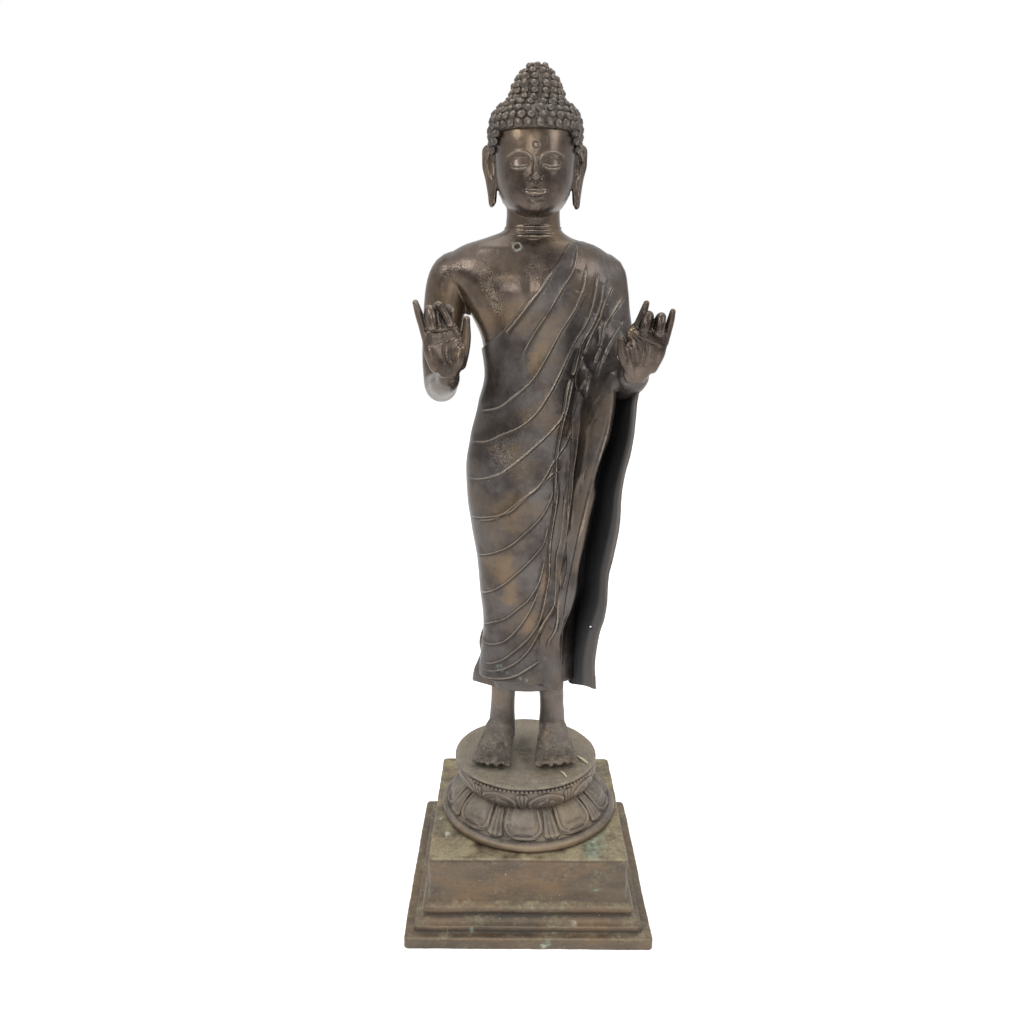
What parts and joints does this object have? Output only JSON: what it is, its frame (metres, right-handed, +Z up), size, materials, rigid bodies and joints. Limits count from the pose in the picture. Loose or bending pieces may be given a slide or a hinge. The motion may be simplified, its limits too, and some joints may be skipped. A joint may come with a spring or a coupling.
{
  "type": "standing buddha statue",
  "caption": "Standing robed buddha statue in bronze with both palms raised, curled hair and long ears, on a round lotus pedestal and a square stepped plinth.",
  "frame": {"origin": "middle of the plinth's flat underside, on the floor", "axes": "+Z up, the figure faces -Y, +X towards the left side of the figure (the viewer's right)"},
  "size_m": [0.325, 0.325, 1.0989],
  "materials": {
    "buddha_figure": "dark brown patina, rubbed golden in places",
    "lotus_pedestal": "dusty brown patina with pale specks",
    "stepped_plinth": "dusty olive brown patina with brassy worn edges and green spots"
  },
  "bodies": {
    "root": {"buddha_figure": "buddha_figure", "lotus_pedestal": "lotus_pedestal", "stepped_plinth": "stepped_plinth"}
  },
  "joints": []
}
